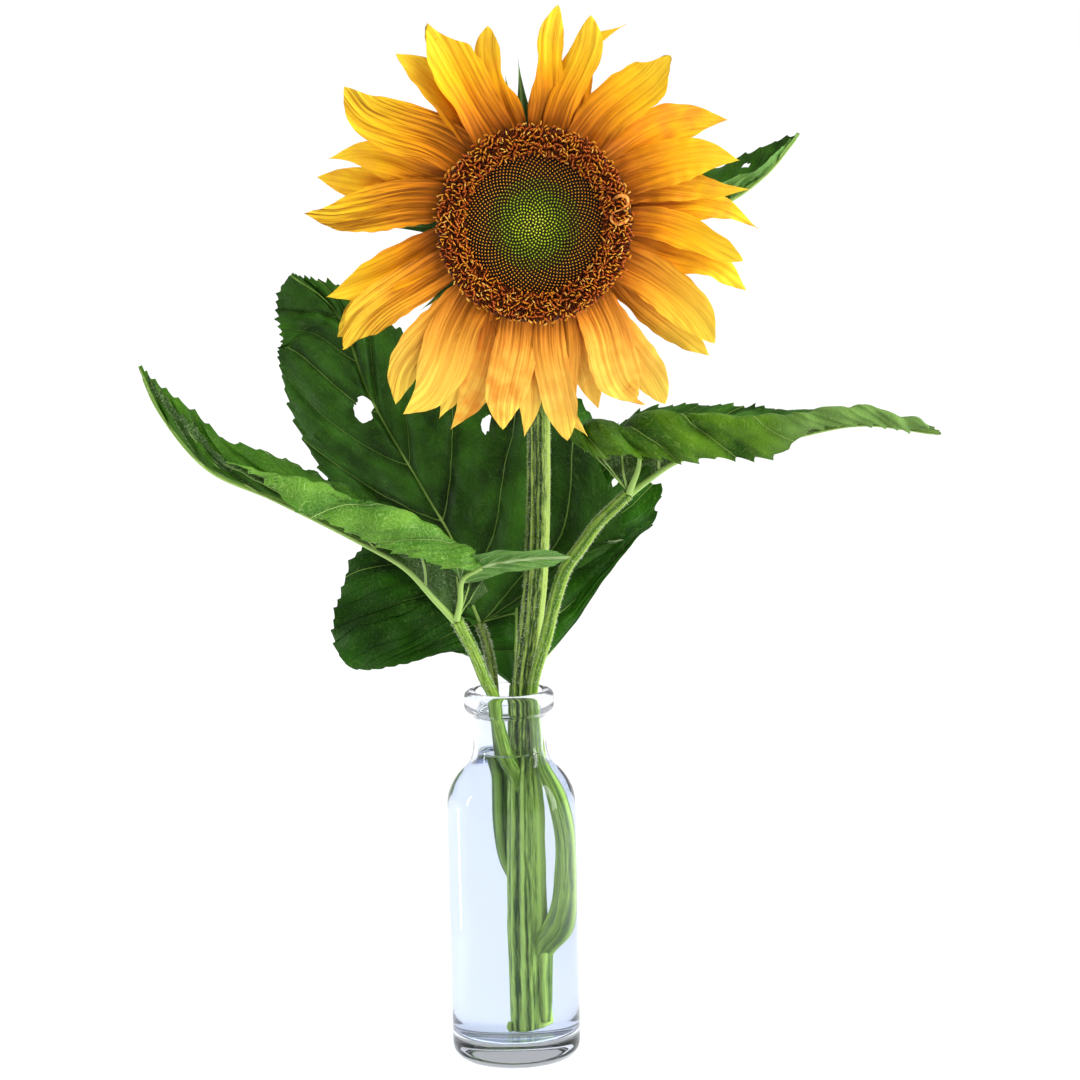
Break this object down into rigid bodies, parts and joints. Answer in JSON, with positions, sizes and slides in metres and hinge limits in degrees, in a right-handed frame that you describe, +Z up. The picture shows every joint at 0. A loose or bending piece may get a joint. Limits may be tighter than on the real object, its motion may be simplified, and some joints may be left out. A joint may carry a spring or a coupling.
{
  "type": "cut sunflower in a glass bottle vase",
  "caption": "Single cut sunflower with a wide golden bloom, ridged green stem and large toothed leaves on long stalks, standing in a clear glass bottle of water.",
  "frame": {"origin": "centre of the bottle's flat underside", "axes": "+Z up along the bottle's axis, -Y the way the bloom faces, +X to the viewer's right"},
  "size_m": [0.3447, 0.1581, 0.4699],
  "materials": {
    "glass": "clear smooth glass with a faint blue tint",
    "water": "clear still water",
    "stem": "green ridged fibrous stem with short pale hairs",
    "leaf": "dark green satin upper side, paler veined underside",
    "petal": "soft golden yellow, grooved lengthways",
    "disc_rim": "curled orange styles on dark brown florets",
    "disc_centre": "closed florets in spirals, brown outside and lime green in the middle",
    "bract": "matt green"
  },
  "bodies": {
    "root": {"bottle": "glass", "water": "water", "stem": "stem", "stem_neck": "stem", "stalk_back": "stem", "stalk_left": "stem", "stalk_low": "stem", "stalk_right_bottom": "stem", "stalk_right_top": "stem", "stalk_top": "stem", "leaf_back": "leaf", "leaf_left": "leaf", "leaf_low": "leaf", "leaf_right": "leaf", "leaf_top": "leaf", "receptacle": "bract", "bracts": "bract", "disc_rim": "disc_rim", "disc_centre": "disc_centre", "petal_01": "petal", "petal_02": "petal", "petal_03": "petal", "petal_04": "petal", "petal_05": "petal", "petal_06": "petal", "petal_07": "petal", "petal_08": "petal", "petal_09": "petal", "petal_10": "petal", "petal_11": "petal", "petal_12": "petal", "petal_13": "petal", "petal_14": "petal", "petal_15": "petal", "petal_16": "petal", "petal_17": "petal", "petal_18": "petal", "petal_19": "petal", "petal_20": "petal", "petal_21": "petal", "petal_22": "petal", "petal_23": "petal", "petal_24": "petal", "petal_25": "petal", "petal_26": "petal", "petal_27": "petal", "petal_28": "petal", "petal_29": "petal", "petal_30": "petal", "petal_31": "petal", "petal_32": "petal", "petal_33": "petal", "petal_34": "petal"}
  },
  "joints": []
}
